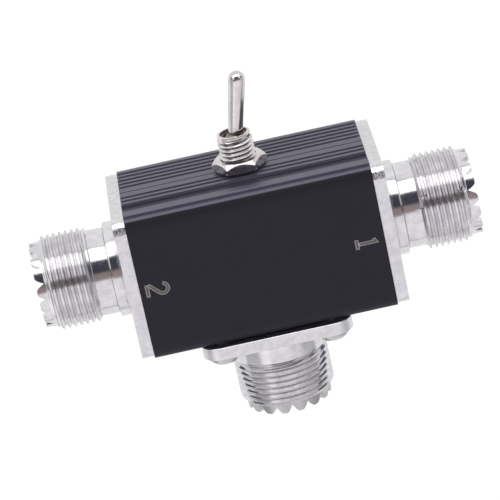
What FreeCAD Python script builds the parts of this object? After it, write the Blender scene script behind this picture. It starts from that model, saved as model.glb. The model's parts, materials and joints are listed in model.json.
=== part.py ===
import FreeCAD, Part
import math
import os
import re
import Sketcher

# Coaxial antenna switch: one transmitter socket, two antenna sockets and a
# miniature toggle switch in a short extruded aluminium shell.
#
# Frame, in millimetres: the switch lies on its back. Z = 0 is the shell's back
# face and +Z points out of its labelled front face. Antenna socket 1 points
# along +X, antenna socket 2 along -X, the toggle along +Y and the transmitter
# socket along -Y. The origin is the centre of the back face.

Vector = FreeCAD.Vector
Rotation = FreeCAD.Rotation
Placement = FreeCAD.Placement

# Driving dimensions: (name, value, what it is).
SIZES = [
    ("shell_size", 25.4, "outer width and height of the square shell"),
    ("shell_length", 40.5, "length of the extrusion along X"),
    ("shell_edge", 2.8, "rounding of the shell's four long edges"),
    ("shell_wall", 1.8, "wall thickness of the extrusion"),
    ("screw_inset", 3.6, "from the shell's sides to the plates' and flange's screws"),
    ("port_radius", 2.4, "outer radius of a screw port in the shell's corner"),
    ("port_mouth", 1.2, "width of the open side of a screw port"),
    ("groove_width", 0.8, "width of one groove between the fine ribs"),
    ("groove_depth", 0.5, "depth of the grooves in the ribbed faces"),
    ("groove_pitch", 1.6, "distance from one groove to the next"),
    ("grooves_back", 5, "grooves between the middle and the back edge"),
    ("grooves_front", 2, "grooves between the middle and the wide channel"),
    ("channel_near", 5.3, "edge of the wide channel nearest the middle"),
    ("channel_width", 3.3, "width of the wide channel"),
    ("edge_groove", 11.0, "middle of the single groove beside the front edge"),
    ("mark_width", 0.3, "width of the fine line along the middle of the face"),
    ("mark_depth", 0.15, "depth of that line"),
    ("plate_inset", 0.3, "how far the end plates stand back from the shell's sides"),
    ("plate_thick", 2.0, "thickness of the end plates"),
    ("plate_corner", 2.6, "corner radius of the end plates"),
    ("flange_thick", 2.1, "thickness of the transmitter socket's square flange"),
    ("flange_inset", 0.2, "how far the flange stands back from the shell's sides"),
    ("flange_corner", 3.0, "corner radius of that flange"),
    ("thread_radius", 7.95, "outer radius of the coupling thread"),
    ("thread_length", 7.85, "length of the threaded barrel"),
    ("thread_chamfer", 0.45, "chamfer at the thread's outer end"),
    ("shank_length", 4.9, "from an end plate to the thread"),
    ("boss_length", 4.7, "from the flange to the thread"),
    ("boss_radius", 7.75, "radius of the plain boss under the flanged thread"),
    ("collar_length", 2.0, "length of the collar on an antenna socket"),
    ("collar_radius", 7.9, "radius of the collar on an antenna socket"),
    ("neck_radius", 7.15, "radius of the neck behind the antenna thread"),
    ("rim_radius", 7.1, "outer radius of the toothed rim"),
    ("rim_length", 1.75, "length of the toothed rim"),
    ("tooth_count", 16, "teeth round the rim"),
    ("tooth_depth", 1.45, "depth of the notches between the teeth"),
    ("notch_mouth", 2.0, "width of a notch at the tips of the teeth"),
    ("notch_root", 0.5, "width of a notch at its root"),
    ("socket_bore", 5.95, "inner radius of the barrel"),
    ("spigot_radius", 6.0, "radius of the antenna sockets' threaded spigots"),
    ("spigot_length", 6.0, "length of the spigot from the plate's outer face"),
    ("spigot_bore", 4.25, "bore of the spigots"),
    ("flange_spigot", 3.0, "length of the flanged socket's spigot inside the shell"),
    ("flange_spigot_radius", 6.4, "radius of that spigot"),
    ("insulator_recess", 3.0, "from the tips of the teeth back to the insulator"),
    ("step_height", 1.0, "insulator step, outwards from the socket's seat"),
    ("contact_radius", 3.0, "outer radius of the centre contact"),
    ("contact_bore", 2.05, "radius of the centre contact's socket"),
    ("contact_proud", 0.8, "length of contact that stands out of the insulator"),
    ("contact_depth", 10.0, "depth of the contact's socket"),
    ("contact_chamfer", 0.3, "chamfer at the contact's outer end"),
    ("contact_slot", 0.6, "width of the slots that make the contact springy"),
    ("slot_length", 8.0, "length of those slots"),
    ("cup_radius", 1.6, "outer radius of the solder cup behind the insulator"),
    ("cup_bore", 0.9, "bore of the solder cup"),
    ("cup_length", 3.0, "length of the solder cup behind the insulator"),
    ("rear_nut_flats", 14.0, "width across flats of the nut behind each end plate"),
    ("rear_nut_thick", 2.5, "thickness of that nut"),
    ("rear_nut_face", 6.8, "radius of the flat end face of that nut"),
    ("rear_washer_radius", 7.6, "radius of the lock washer under that nut"),
    ("rear_washer_thick", 0.6, "thickness of that lock washer"),
    ("washer_teeth", 8, "inner teeth of the lock washers"),
    ("washer_gullet", 0.7, "width of the gaps between those teeth"),
    ("screw_radius", 1.45, "radius of all the screws' shanks"),
    ("screw_point", 0.8, "radius of the screws' blunt points"),
    ("plate_head_radius", 2.75, "radius of the countersunk screws' heads"),
    ("plate_screw_length", 8.0, "length of the countersunk screws"),
    ("flange_head_radius", 2.6, "radius of the flange screws' pan heads"),
    ("flange_head_height", 1.4, "height of those heads"),
    ("flange_head_slope", 0.6, "sloping edge of those heads"),
    ("flange_screw_length", 5.0, "length of the flange screws under the head"),
    ("recess_width", 0.6, "width of the cross recess in a screw head"),
    ("recess_arm", 1.35, "from the screw's axis to the end of a recess arm"),
    ("recess_depth", 0.7, "depth of the cross recess"),
    ("bushing_radius", 2.95, "outer radius of the toggle's threaded bushing"),
    ("bushing_height", 6.2, "how far the bushing stands out of the shell"),
    ("bushing_length", 8.9, "whole length of the bushing above the switch frame"),
    ("bushing_chamfer", 0.3, "chamfer round the bushing's upper end"),
    ("bushing_mouth", 2.2, "radius of the bushing's open mouth"),
    ("mouth_round", 0.15, "chamfer of that mouth"),
    ("mouth_depth", 0.4, "depth of that mouth above the retaining lip"),
    ("lip_radius", 1.75, "radius of the lip that holds the lever's ball"),
    ("lip_height", 0.4, "height of that lip"),
    ("ball_shoulder", 0.55, "end of the conical roof over the ball, above the pivot"),
    ("ball_below", 1.0, "end of the straight ball chamber, below the pivot"),
    ("throat_radius", 2.38, "radius of the bushing's bore at its lower end"),
    ("toggle_nut_flats", 8.0, "width across flats of the toggle's nut"),
    ("toggle_nut_thick", 1.6, "thickness of that nut"),
    ("toggle_nut_face", 3.85, "radius of the flat end face of that nut"),
    ("toggle_washer_thick", 0.4, "thickness of the washer under that nut"),
    ("toggle_washer_radius", 4.1, "radius of that washer"),
    ("lock_washer_thick", 0.5, "thickness of the lock washer inside the shell"),
    ("lock_washer_radius", 4.5, "radius of that lock washer"),
    ("key_washer_thick", 0.4, "thickness of the keyed washer inside the shell"),
    ("key_washer_radius", 4.8, "radius of that keyed washer"),
    ("lever_angle", 12.5, "tilt of the lever to each side, in degrees"),
    ("lever_height", 10.4, "how far the upright lever would stand over the bushing"),
    ("lever_tip_radius", 1.42, "radius of the lever at its rounded tip"),
    ("lever_neck_radius", 1.2, "radius of the lever where it enters the bushing"),
    ("pivot_depth", 2.0, "lever pivot, below the bushing's upper end"),
    ("ball_radius", 2.1, "radius of the lever's ball"),
    ("stem_radius", 1.0, "radius of the lever's stem under the ball"),
    ("stem_length", 5.4, "length of that stem from the pivot"),
    ("spring_top", 1.4, "from the pivot down to the spring's upper end"),
    ("spring_wire", 0.12, "radius of the plunger spring's wire"),
    ("spring_turns", 4, "turns of that spring"),
    ("plunger_top", 3.6, "from the pivot down to the plunger's upper end"),
    ("plunger_radius", 0.6, "radius of the sprung plunger in the stem"),
    ("plunger_nose", 0.85, "radius of the plunger's round nose"),
    ("plunger_nose_side", 0.5, "straight side of that nose"),
    ("plunger_reach", 11.4, "from the pivot down to the plunger's nose"),
    ("plunger_gap", 0.22, "room between the nose and the level rocker"),
    ("frame_length", 13.2, "length of the switch along the lever's throw"),
    ("frame_width", 7.9, "width of the switch"),
    ("frame_thick", 0.8, "thickness of the switch's metal frame"),
    ("leg_width", 6.0, "width of the frame's two legs"),
    ("leg_thick", 0.6, "thickness of those legs"),
    ("leg_reach", 6.0, "how far the legs reach down beside the case"),
    ("case_height", 7.8, "height of the moulded case under the frame"),
    ("case_wall", 1.0, "wall of the moulded case"),
    ("case_floor", 1.3, "floor of the moulded case"),
    ("terminal_inset", 1.9, "from the switch's ends to its side terminals"),
    ("terminal_width", 2.0, "width of a side terminal"),
    ("terminal_thick", 0.8, "thickness of a terminal"),
    ("wire_room", 2.9, "room for wires from the terminals to the flanged solder cup"),
    ("terminal_head", 0.4, "radius of the terminals' round heads"),
    ("foot_height", 0.5, "height of the foot that rests on the case's floor"),
    ("foot_reach", 0.35, "how far that foot stands out on each side"),
    ("eye_radius", 0.5, "radius of the solder eye in a terminal's tail"),
    ("eye_height", 1.3, "from the tail's end to the middle of the eye"),
    ("rocker_gap", 0.9, "from the rocker's axis up to the bottom of its trough"),
    ("rocker_dish", 17.0, "rise of the rocker's two arms, in degrees"),
    ("rocker_angle", 10.0, "tilt of the rocker to each side, in degrees"),
    ("rocker_thick", 0.4, "thickness of the rocker"),
    ("rocker_inset", 0.1, "how far the rocker ends short of the side terminals"),
    ("rocker_width", 2.6, "width of the rocker"),
    ("cheek_thick", 0.3, "thickness of the two cheeks beside the common terminal"),
    ("cheek_width", 1.6, "width of those cheeks"),
    ("cheek_drop", 0.7, "how far the cheeks reach below the rocker's axis"),
    ("wire_radius", 0.5, "radius of the hook-up wires"),
    ("wire_bend", 1.0, "bend radius of the hook-up wires"),
    ("wire_offset", 3.4, "how far an antenna wire passes beside the middle plane"),
    ("wire_drop", 1.6, "how far an antenna wire passes below the terminals"),
    ("wire_lead", 6.5, "straight run of an antenna wire out of its solder cup"),
    ("wire_slant", 3.0, "length along X of the slanting run after it"),
    ("slide_gap", 0.05, "radial clearance of parts that slide or screw together"),
    ("ball_gap", 0.06, "clearance round the lever's ball"),
    ("touch_gap", 0.12, "gap between switch contacts that only touch"),
    ("overcut", 1.0, "how far a cutting profile stands out of the material"),
]
NAMES = {name for name, number, meaning in SIZES}

doc = FreeCAD.newDocument("antenna_switch")
sheet = doc.addObject("Spreadsheet::Sheet", "Sizes")
for row, (name, number, meaning) in enumerate(SIZES, start=1):
    sheet.set(f"A{row}", name)
    sheet.set(f"B{row}", str(number))
    sheet.set(f"C{row}", meaning)
    sheet.setAlias(f"B{row}", name)
doc.recompute()

# Places that several parts share, as expressions on the names above.
MIDDLE = "(shell_size / 2)"
PLATE_INNER = "(shell_length / 2)"
PLATE_OUTER = "(shell_length / 2 + plate_thick)"
FLANGE_OUTER = "(shell_size / 2 + flange_thick)"
SCREW_AT = "(shell_size / 2 - screw_inset)"
SCREW_HOLE = "(screw_radius + slide_gap)"
BUSHING_TOP = "(shell_size / 2 + bushing_height)"
BUSHING_HOLE = "(bushing_radius + slide_gap)"
FRAME_TOP = f"({BUSHING_TOP} - bushing_length)"
PIVOT = f"({BUSHING_TOP} - pivot_depth)"
CASE_TOP = f"({FRAME_TOP} - frame_thick)"
CASE_BOTTOM = f"({CASE_TOP} - case_height)"
CASE_FLOOR = f"({CASE_BOTTOM} + case_floor)"
CUP_END = f"(flange_spigot + cup_length - {MIDDLE})"
TERMINAL_END = f"({CUP_END} + wire_room)"
TERMINAL_AT = "(frame_length / 2 - terminal_inset)"
ROCKER_HALF = f"({TERMINAL_AT} - rocker_inset)"
ROCKER_AXIS = f"({PIVOT} - plunger_reach - rocker_gap - plunger_gap)"

# Turns that bring a part's own Z axis to the side it points to.
TOWARDS_PLUS_X = Rotation(Vector(0, 1, 0), 90)
TOWARDS_MINUS_X = Rotation(Vector(0, 1, 0), -90)
TOWARDS_PLUS_Y = Rotation(Vector(1, 0, 0), -90)
TOWARDS_MINUS_Y = Rotation(Vector(1, 0, 0), 90)

sub_parts = []


# ---------------------------------------------------------------- helpers

def bound(expression):
    """Put the sheet's name before every size in an expression."""
    def prefix(word):
        return f"Sizes.{word[0]}" if word[0] in NAMES else word[0]
    return re.sub(r"[a-z][a-z0-9_]*", prefix, expression)


def size(expression):
    """The number that an expression stands for."""
    return float(sheet.evalExpression(bound(expression)))


def count(name):
    return int(round(size(name)))


def new_body(label):
    body = doc.addObject("PartDesign::Body", label)
    body.Label = label
    sub_parts.append(body)
    return body


def place(thing, x="0", y="0", z="0", turn=Rotation()):
    """Turn a sub-part as a whole and bind its place to the sheet."""
    thing.Placement = Placement(Vector(0, 0, 0), turn)
    for axis, expression in (("x", x), ("y", y), ("z", z)):
        if expression != "0":
            thing.setExpression(f"Placement.Base.{axis}", bound(expression))


def origin_item(body, role):
    return [item for item in body.Origin.OriginFeatures if item.Role == role][0]


def sketch_on(body, role, x="0", y="0", z="0"):
    """A sketch on one of the body's own planes, moved within that plane's axes."""
    sketch = body.newObject("Sketcher::SketchObject", f"{body.Name}_sketch")
    sketch.AttachmentSupport = [(origin_item(body, role), "")]
    sketch.MapMode = "FlatFace"
    for axis, expression in (("x", x), ("y", y), ("z", z)):
        if expression != "0":
            sketch.setExpression(f"AttachmentOffset.Base.{axis}", bound(expression))
    return sketch


def fix_point(sketch, geometry, point, x, y):
    """Hold a point of the sketch at two expressions, measured from its origin."""
    for kind, axis, expression in (("DistanceX", -2, x), ("DistanceY", -1, y)):
        number = size(expression)
        if abs(number) < 1e-9:
            sketch.addConstraint(Sketcher.Constraint("PointOnObject", geometry, point, axis))
            continue
        held = Sketcher.Constraint(kind, -1, 1, geometry, point, number)
        index = sketch.addConstraint(held)
        sketch.setExpression(f"Constraints[{index}]", bound(expression))


def arc_between(start, end, radius):
    """The shorter arc from start to end that has its centre left of the chord."""
    chord = end - start
    rise = math.sqrt(max(radius ** 2 - (chord.Length / 2) ** 2, 0))
    across = Vector(-chord.y, chord.x, 0).normalize()
    centre = (start + end) * 0.5 + across * rise
    first = math.atan2(start.y - centre.y, start.x - centre.x)
    last = math.atan2(end.y - centre.y, end.x - centre.x)
    return Part.ArcOfCircle(Part.Circle(centre, Vector(0, 0, 1), radius), first, last)


def outline(sketch, corners):
    """A closed, fully held outline through the corners.

    A corner is (x, y) where a straight line starts and (x, y, radius) where an
    arc starts that turns left, as on an outline that runs counter-clockwise.
    """
    points = [Vector(size(corner[0]), size(corner[1]), 0) for corner in corners]
    edges = []
    for corner, here, there in zip(corners, points, points[1:] + points[:1]):
        if len(corner) == 2:
            edges.append(sketch.addGeometry(Part.LineSegment(here, there)))
            continue
        edge = sketch.addGeometry(arc_between(here, there, size(corner[2])))
        held = sketch.addConstraint(Sketcher.Constraint("Radius", edge, size(corner[2])))
        sketch.setExpression(f"Constraints[{held}]", bound(corner[2]))
        edges.append(edge)
    for edge, following in zip(edges, edges[1:] + edges[:1]):
        sketch.addConstraint(Sketcher.Constraint("Coincident", edge, 2, following, 1))
    for edge, corner in zip(edges, corners):
        fix_point(sketch, edge, 1, corner[0], corner[1])


def rectangle(sketch, left, bottom, right, top):
    outline(sketch, [(left, bottom), (right, bottom), (right, top), (left, top)])


def circle(sketch, radius, x="0", y="0"):
    centre = Vector(size(x), size(y), 0)
    ring = sketch.addGeometry(Part.Circle(centre, Vector(0, 0, 1), size(radius)))
    held = sketch.addConstraint(Sketcher.Constraint("Radius", ring, size(radius)))
    sketch.setExpression(f"Constraints[{held}]", bound(radius))
    fix_point(sketch, ring, 3, x, y)


def each_corner():
    """The four corners of the square screw pattern, as pairs of expressions."""
    for side_x in (-1, 1):
        for side_y in (-1, 1):
            yield f"{side_x} * {SCREW_AT}", f"{side_y} * {SCREW_AT}"


def pad(body, sketch, length, symmetric=False, reverse=False):
    feature = body.newObject("PartDesign::Pad", f"{body.Name}_pad")
    feature.Profile = sketch
    feature.SideType = "Symmetric" if symmetric else "One side"
    feature.Reversed = reverse
    feature.setExpression("Length", bound(length))
    doc.recompute()
    return feature


def need_less(body, before, feature):
    """A cut in the wrong direction removes nothing, which is an error."""
    if body.Shape.Volume >= before - 1e-6:
        raise RuntimeError(f"{feature.Name} cuts nothing")


def pocket(body, sketch, length, symmetric=False, reverse=False):
    before = body.Shape.Volume
    feature = body.newObject("PartDesign::Pocket", f"{body.Name}_pocket")
    feature.Profile = sketch
    feature.SideType = "Symmetric" if symmetric else "One side"
    feature.Reversed = reverse
    feature.setExpression("Length", bound(length))
    doc.recompute()
    need_less(body, before, feature)
    return feature


def turned(body, kind, sketch):
    """Revolve a half section about the sketch's upright axis."""
    feature = body.newObject(f"PartDesign::{kind}", f"{body.Name}_{kind.lower()}")
    feature.Profile = sketch
    feature.ReferenceAxis = (sketch, ["V_Axis"])
    feature.Angle = 360
    doc.recompute()
    return feature


def polar_pattern(body, features, occurrences):
    """Repeat features round the body's Z axis."""
    pattern = body.newObject("PartDesign::PolarPattern", f"{body.Name}_pattern")
    pattern.Originals = features
    pattern.Axis = (origin_item(body, "Z_Axis"), [""])
    pattern.Angle = 360
    pattern.setExpression("Occurrences", bound(occurrences))
    body.Tip = pattern
    doc.recompute()
    return pattern


def round_edges(body, base, direction, radius, half="0"):
    """Fillet the straight edges along a direction; half keeps to the square's corners."""
    reach = size(half)
    names = []
    for index, edge in enumerate(base.Shape.Edges, start=1):
        if edge.Curve.TypeId != "Part::GeomLine":
            continue
        if edge.Curve.Direction.cross(direction).Length > 1e-6:
            continue
        middle = edge.CenterOfMass
        if reach and abs(abs(middle.x) - reach) + abs(abs(middle.y) - reach) > 1e-6:
            continue
        names.append(f"Edge{index}")
    feature = body.newObject("PartDesign::Fillet", f"{body.Name}_fillet")
    feature.Base = (base, names)
    feature.setExpression("Radius", bound(radius))
    doc.recompute()
    return feature


# ---------------------------------------------------------------- shell

def make_shell():
    """The extruded shell with its screw ports, ribs and openings."""
    body = new_body("shell")
    place(body, z=MIDDLE)
    half = MIDDLE
    inner = "(shell_size / 2 - shell_wall)"

    # In the YZ plane a sketch's x is Y and its y is Z.
    section = sketch_on(body, "YZ_Plane")
    rectangle(section, f"-{half}", f"-{half}", half, half)
    block = pad(body, section, "shell_length", symmetric=True)
    round_edges(body, block, Vector(1, 0, 0), "shell_edge")
    cavity = sketch_on(body, "YZ_Plane")
    rectangle(cavity, f"-{inner}", f"-{inner}", inner, inner)
    pocket(body, cavity, "shell_length + overcut", symmetric=True)

    ports = sketch_on(body, "YZ_Plane")
    bores = sketch_on(body, "YZ_Plane")
    mouths = sketch_on(body, "YZ_Plane")
    for y, z in each_corner():
        circle(ports, "port_radius", y, z)
        circle(bores, SCREW_HOLE, y, z)
        inwards = f"({z}) * (1 - (port_radius + overcut) / {SCREW_AT})"
        low, high = sorted((z, inwards), key=size)
        rectangle(mouths, f"{y} - port_mouth / 2", low, f"{y} + port_mouth / 2", high)
    pad(body, ports, "shell_length", symmetric=True)
    pocket(body, bores, "shell_length + overcut", symmetric=True)
    pocket(body, mouths, "shell_length + overcut", symmetric=True)

    cut_ribs(body)
    cut_openings(body)


def cut_ribs(body):
    """Grooves along both ribbed faces: the front is +Z, the back is -Z."""
    grooves = []
    for step in range(count("grooves_back")):
        grooves.append((f"-({step} + 1.5) * groove_pitch", "groove_width", "groove_depth"))
    for step in range(count("grooves_front")):
        grooves.append((f"({step} + 1.5) * groove_pitch", "groove_width", "groove_depth"))
    grooves.append(("channel_near + channel_width / 2", "channel_width", "groove_depth"))
    grooves.append(("edge_groove", "groove_width", "groove_depth"))
    grooves.append(("0", "mark_width", "mark_depth"))

    cutter = sketch_on(body, "YZ_Plane")
    for centre, width, depth in grooves:
        low = f"{centre} - {width} / 2"
        high = f"{centre} + {width} / 2"
        rectangle(cutter, f"{MIDDLE} - {depth}", low, f"{MIDDLE} + overcut", high)
        rectangle(cutter, f"-{MIDDLE} - overcut", low, f"-{MIDDLE} + {depth}", high)
    pocket(body, cutter, "shell_length + overcut", symmetric=True)


def cut_openings(body):
    """The toggle's hole, the flanged socket's hole and its screw holes."""
    # In the XZ plane a sketch's x is X, its y is Z and its normal is -Y.
    toggle = sketch_on(body, "XZ_Plane")
    circle(toggle, BUSHING_HOLE)
    pocket(body, toggle, "shell_size")
    socket = sketch_on(body, "XZ_Plane")
    circle(socket, "flange_spigot_radius + slide_gap")
    pocket(body, socket, "shell_size", reverse=True)
    screws = sketch_on(body, "XZ_Plane", z=SCREW_AT)
    for x, z in each_corner():
        circle(screws, SCREW_HOLE, x, z)
    pocket(body, screws, "shell_size", reverse=True)


# ---------------------------------------------------------------- sockets

def socket_levels(flanged):
    """Heights over a socket's seat: thread start, tips of the teeth, rear end."""
    shank = "boss_length" if flanged else "shank_length"
    tip = f"({shank} + thread_length + rim_length)"
    rear = "-(flange_thick + flange_spigot)" if flanged else "-spigot_length"
    return shank, tip, rear


def make_socket_body(label, flanged):
    """A socket's plated metal body on its own Z axis, its seat at Z = 0."""
    body = new_body(label)
    shank, tip, rear = socket_levels(flanged)
    spigot = "flange_spigot_radius" if flanged else "spigot_radius"
    thread_end = f"({shank} + thread_length)"
    corners = [("spigot_bore", rear), (spigot, rear), (spigot, "0")]
    if flanged:
        corners.append(("boss_radius", "0"))
        corners.append(("boss_radius", shank))
    else:
        corners.append(("collar_radius", "0"))
        corners.append(("collar_radius", "collar_length"))
        corners.append(("neck_radius", "collar_length"))
        corners.append(("neck_radius", shank))
    corners += [
        ("thread_radius", f"{shank} + thread_chamfer"),
        ("thread_radius", f"{thread_end} - thread_chamfer"),
        ("rim_radius", thread_end),
        ("rim_radius", tip),
        ("socket_bore", tip),
        ("socket_bore", "step_height"),
        ("spigot_bore", "step_height"),
    ]
    profile = sketch_on(body, "XZ_Plane")
    outline(profile, corners)
    turned(body, "Revolution", profile)
    if flanged:
        add_flange(body)
    cut_teeth(body, tip)
    return body


def add_flange(body):
    """The square flange under the seat, with its four screw holes."""
    square = sketch_on(body, "XY_Plane")
    half = "(shell_size / 2 - flange_inset)"
    rectangle(square, f"-{half}", f"-{half}", half, half)
    circle(square, "(spigot_bore + flange_spigot_radius) / 2")
    for x, y in each_corner():
        circle(square, SCREW_HOLE, x, y)
    plate = pad(body, square, "flange_thick", reverse=True)
    round_edges(body, plate, Vector(0, 0, 1), "flange_corner", half)


def cut_teeth(body, tip):
    """One tapered notch through the rim, repeated into a ring of teeth."""
    notch = sketch_on(body, "YZ_Plane")
    outline(notch, [
        ("-notch_root / 2", f"{tip} - tooth_depth"),
        ("notch_root / 2", f"{tip} - tooth_depth"),
        ("notch_mouth / 2", tip),
        ("notch_mouth / 2", f"{tip} + overcut"),
        ("-notch_mouth / 2", f"{tip} + overcut"),
        ("-notch_mouth / 2", tip),
    ])
    cut = pocket(body, notch, "rim_radius + overcut", reverse=True)
    polar_pattern(body, [cut], "tooth_count")


def make_insulator(label, flanged):
    """The stepped insulator in the barrel."""
    body = new_body(label)
    shank, tip, rear = socket_levels(flanged)
    front = f"{tip} - insulator_recess"
    wide_hole = "contact_radius + slide_gap"
    profile = sketch_on(body, "XZ_Plane")
    outline(profile, [
        ("cup_radius + slide_gap", rear),
        ("spigot_bore - slide_gap", rear),
        ("spigot_bore - slide_gap", "step_height"),
        ("socket_bore - slide_gap", "step_height"),
        ("socket_bore - slide_gap", front),
        (wide_hole, front),
        (wide_hole, "step_height"),
        ("cup_radius + slide_gap", "step_height"),
    ])
    turned(body, "Revolution", profile)
    return body


def make_contact(label, flanged):
    """The slotted centre contact with its solder cup."""
    body = new_body(label)
    shank, tip, rear = socket_levels(flanged)
    front = f"({tip} - insulator_recess + contact_proud)"
    profile = sketch_on(body, "XZ_Plane")
    outline(profile, [
        ("0", rear),
        ("cup_bore", rear),
        ("cup_bore", f"{rear} - cup_length"),
        ("cup_radius", f"{rear} - cup_length"),
        ("cup_radius", "step_height"),
        ("contact_radius", "step_height"),
        ("contact_radius", f"{front} - contact_chamfer"),
        ("contact_radius - contact_chamfer", front),
        ("contact_bore", front),
        ("contact_bore", f"{front} - contact_depth"),
        ("0", f"{front} - contact_depth"),
    ])
    turned(body, "Revolution", profile)
    for role in ("XZ_Plane", "YZ_Plane"):
        slot = sketch_on(body, role)
        half = "contact_slot / 2"
        rectangle(slot, f"-{half}", f"{front} - slot_length", half, f"{front} + overcut")
        pocket(body, slot, "2 * contact_radius + overcut", symmetric=True)
    return body


def make_end_plate(label):
    """A square end plate, its inner face at Z = 0, with countersunk holes."""
    body = new_body(label)
    half = "(shell_size / 2 - plate_inset)"
    square = sketch_on(body, "XY_Plane")
    rectangle(square, f"-{half}", f"-{half}", half, half)
    circle(square, "spigot_radius + slide_gap")
    plate = pad(body, square, "plate_thick")
    round_edges(body, plate, Vector(0, 0, 1), "plate_corner", half)

    centres = sketch_on(body, "XY_Plane", z="plate_thick")
    for x, y in each_corner():
        circle(centres, SCREW_HOLE, x, y)
    doc.recompute()
    before = body.Shape.Volume
    holes = body.newObject("PartDesign::Hole", f"{label}_holes")
    holes.Profile = centres
    holes.ThreadType = "None"
    holes.DepthType = "ThroughAll"
    holes.HoleCutType = "Countersink"
    holes.HoleCutCustomValues = True
    holes.HoleCutCountersinkAngle = 90
    holes.setExpression("Diameter", bound(f"2 * {SCREW_HOLE}"))
    holes.setExpression("HoleCutDiameter", bound("2 * (plate_head_radius + slide_gap)"))
    doc.recompute()
    need_less(body, before, holes)
    return body


def make_hex_nut(label, flats, thickness, bore, face):
    """A hexagon nut on its own Z axis, its upper end chamfered by turning."""
    body = new_body(label)
    corner = f"({flats} / sqrt(3))"
    profile = sketch_on(body, "XY_Plane")
    angles = [60 * step for step in range(6)]
    outline(profile, [(f"{corner} * cos({a})", f"{corner} * sin({a})") for a in angles])
    circle(profile, bore)
    pad(body, profile, thickness)
    before = body.Shape.Volume
    chamfer = sketch_on(body, "XZ_Plane")
    outline(chamfer, [
        (face, thickness),
        (f"{corner} + overcut", f"{thickness} - ({corner} + overcut - {face})"),
        (f"{corner} + overcut", thickness),
    ])
    need_less(body, before, turned(body, "Groove", chamfer))
    return body


def make_washer(label, inner, outer, thickness, toothed=False):
    """A flat washer, or a lock washer with inner teeth."""
    body = new_body(label)
    ring = sketch_on(body, "XY_Plane")
    circle(ring, outer)
    circle(ring, inner)
    pad(body, ring, thickness)
    if toothed:
        gullet = sketch_on(body, "XY_Plane")
        half = "washer_gullet / 2"
        rectangle(gullet, f"{inner} - overcut", f"-{half}", f"({inner} + {outer}) / 2", half)
        cut = pocket(body, gullet, thickness, reverse=True)
        polar_pattern(body, [cut], "washer_teeth")
    return body


def make_screws(label, head, length, head_top):
    """Four equal screws on the square pattern; their heads seat at Z = 0."""
    body = new_body(label)
    body.AllowCompound = True
    profile = sketch_on(body, "XZ_Plane", x=SCREW_AT, z=f"-{SCREW_AT}")
    outline(profile, [
        ("0", f"-{length}"),
        ("screw_point", f"-{length}"),
        ("screw_radius", f"-{length} + screw_radius - screw_point"),
    ] + head)
    screw = turned(body, "Revolution", profile)

    recess = sketch_on(body, "XY_Plane", x=SCREW_AT, y=SCREW_AT, z=head_top)
    thin = "recess_width / 2"
    outline(recess, [
        ("recess_arm", f"-{thin}"), ("recess_arm", thin), (thin, thin),
        (thin, "recess_arm"), (f"-{thin}", "recess_arm"), (f"-{thin}", thin),
        ("-recess_arm", thin), ("-recess_arm", f"-{thin}"), (f"-{thin}", f"-{thin}"),
        (f"-{thin}", "-recess_arm"), (thin, "-recess_arm"), (thin, f"-{thin}"),
    ])
    cross = pocket(body, recess, "recess_depth")
    polar_pattern(body, [screw, cross], "4")
    return body


def make_antenna_end(name, side, turn):
    """End plate, its screws and the complete socket at one end of the shell."""
    seat = f"{side} * {PLATE_OUTER}"
    inner = f"{side} * {PLATE_INNER}"
    place(make_end_plate(f"{name}_end_plate"), x=inner, z=MIDDLE, turn=turn)
    place(make_socket_body(f"{name}_socket_body", False), x=seat, z=MIDDLE, turn=turn)
    place(make_insulator(f"{name}_insulator", False), x=seat, z=MIDDLE, turn=turn)
    place(make_contact(f"{name}_centre_contact", False), x=seat, z=MIDDLE, turn=turn)
    head = [
        ("screw_radius", "screw_radius - plate_head_radius"),
        ("plate_head_radius", "0"),
        ("0", "0"),
    ]
    screws = make_screws(f"{name}_plate_screws", head, "plate_screw_length", "0")
    place(screws, x=seat, z=MIDDLE, turn=turn)

    # The washer and the nut look inwards, so their Z axis is turned over.
    inwards = turn.multiply(Rotation(Vector(1, 0, 0), 180))
    bore = "(spigot_radius + slide_gap)"
    washer = make_washer(f"{name}_lock_washer", bore, "rear_washer_radius",
                         "rear_washer_thick", toothed=True)
    place(washer, x=inner, z=MIDDLE, turn=inwards)
    nut = make_hex_nut(f"{name}_rear_nut", "rear_nut_flats", "rear_nut_thick",
                       bore, "rear_nut_face")
    place(nut, x=f"{side} * ({PLATE_INNER} - rear_washer_thick)", z=MIDDLE, turn=inwards)


def make_transmitter_side():
    """The flanged socket under the shell and its four pan-head screws."""
    seat = f"-{FLANGE_OUTER}"
    turn = TOWARDS_MINUS_Y
    place(make_socket_body("tx_socket_body", True), y=seat, z=MIDDLE, turn=turn)
    place(make_insulator("tx_insulator", True), y=seat, z=MIDDLE, turn=turn)
    place(make_contact("tx_centre_contact", True), y=seat, z=MIDDLE, turn=turn)
    head = [
        ("screw_radius", "0"),
        ("flange_head_radius", "0"),
        ("flange_head_radius", "flange_head_height - flange_head_slope"),
        ("flange_head_radius - flange_head_slope", "flange_head_height"),
        ("0", "flange_head_height"),
    ]
    screws = make_screws("tx_flange_screws", head, "flange_screw_length", "flange_head_height")
    place(screws, y=seat, z=MIDDLE, turn=turn)


# ---------------------------------------------------------------- toggle switch

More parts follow.
